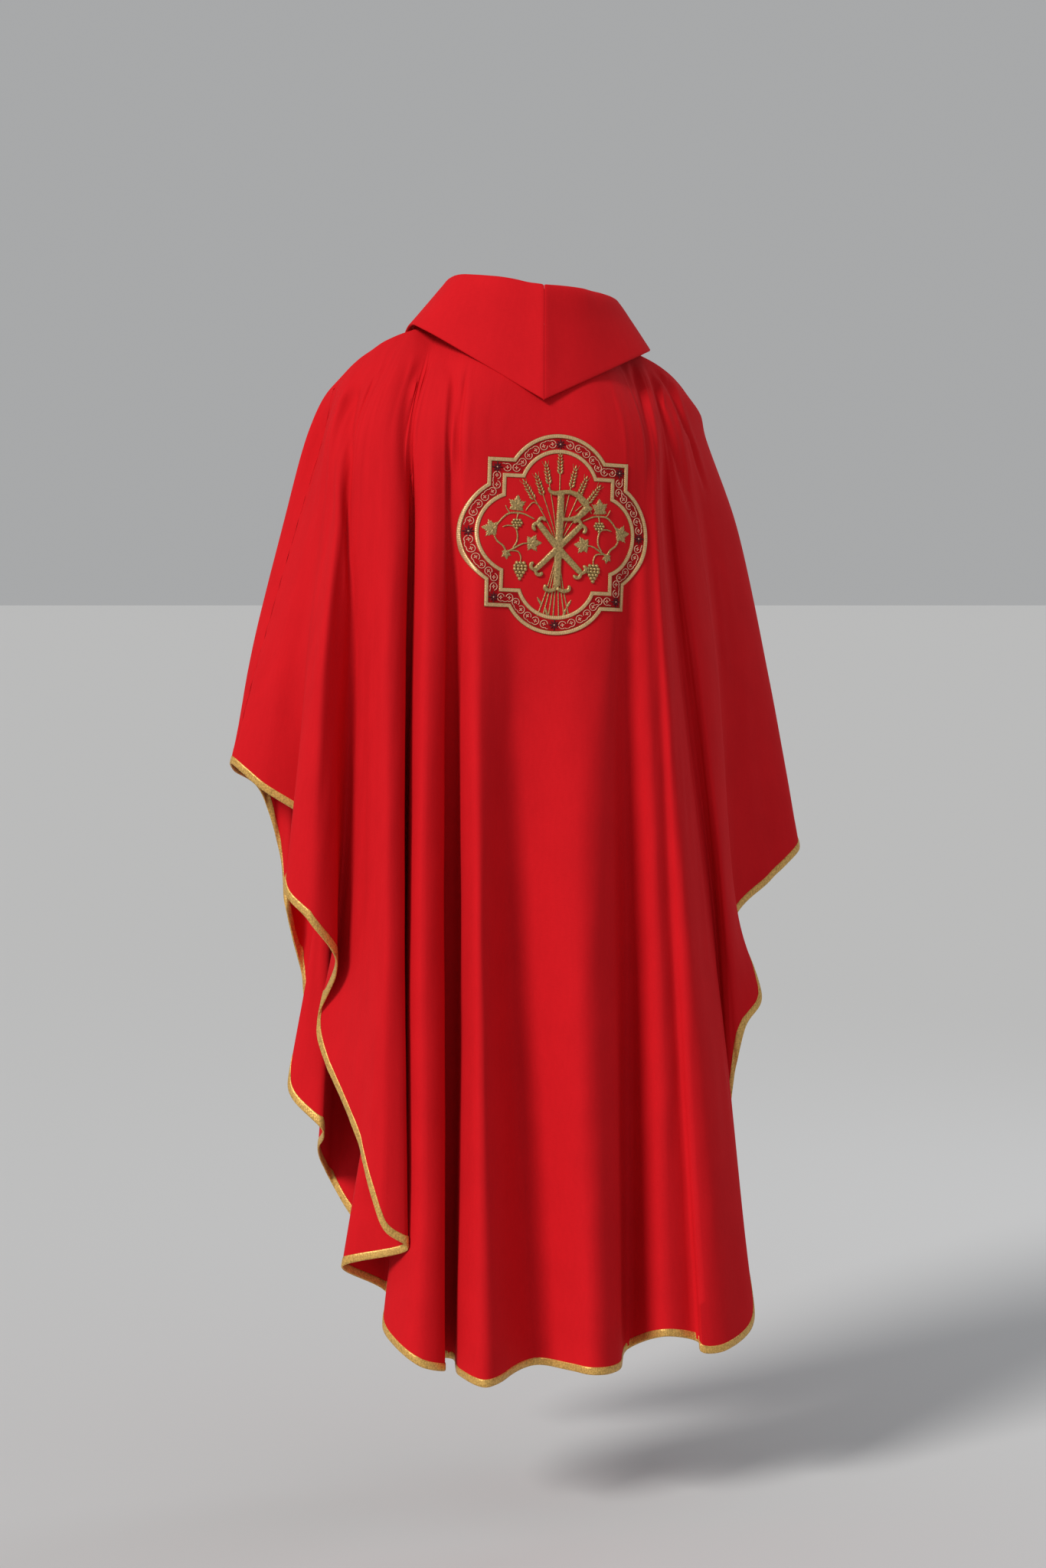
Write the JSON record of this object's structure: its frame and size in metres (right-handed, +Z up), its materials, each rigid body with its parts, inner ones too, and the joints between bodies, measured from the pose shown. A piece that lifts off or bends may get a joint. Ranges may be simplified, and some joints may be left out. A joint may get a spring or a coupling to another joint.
{
  "type": "chasuble",
  "caption": "Full conical chasuble draped as worn, with a folded-over cowl collar, a braid-bound hem and an embroidered quatrefoil medallion on the back",
  "frame": {"origin": "middle of the neck opening, at the level where the garment rests on the wearer's shoulders", "axes": "+Z up; the wearer faces -Y, so the back and its medallion face +Y; +X towards the wearer's left"},
  "size_m": [0.782, 0.411, 1.411],
  "materials": {
    "red_cloth": "plain-weave wool and silk mixture with a soft sheen",
    "facing_cloth": "matt plain weave",
    "white_interfacing": "matt bonded canvas",
    "gold_braid": "woven metallic braid, granular sheen",
    "gold_thread": "satin stitch in metallic thread",
    "old_gold_thread": "padded metallic embroidery",
    "rose_gold_thread": "fine metallic embroidery",
    "maroon_thread": "matt satin stitch",
    "red_ground": "smooth red backing cloth under the embroidery"
  },
  "bodies": {
    "root": {"back_panel": "red_cloth", "front_panel": "red_cloth", "hem_braid_back": "gold_braid", "hem_braid_front": "gold_braid", "neck_facing_back": "facing_cloth", "neck_facing_front": "facing_cloth", "collar_left": "red_cloth", "collar_interfacing_left": "white_interfacing", "undercollar_left": "red_cloth", "collar_right": "red_cloth", "collar_interfacing_right": "white_interfacing", "undercollar_right": "red_cloth", "emblem_backing": "white_interfacing", "emblem_ground": "red_ground", "emblem_outer_border": "gold_thread", "emblem_scroll_band": "rose_gold_thread", "emblem_inner_border": "gold_thread", "flower_top": "maroon_thread", "flower_bottom": "maroon_thread", "flower_left": "maroon_thread", "flower_right": "maroon_thread", "flower_upper_left": "maroon_thread", "flower_upper_right": "maroon_thread", "flower_lower_left": "maroon_thread", "flower_lower_right": "maroon_thread", "wheat_sheaf": "old_gold_thread", "chi_rho": "old_gold_thread", "vine_left": "old_gold_thread", "vine_right": "old_gold_thread", "grapes_upper_left": "old_gold_thread", "grapes_upper_right": "old_gold_thread", "grapes_lower_left": "old_gold_thread", "grapes_lower_right": "old_gold_thread"}
  },
  "joints": []
}
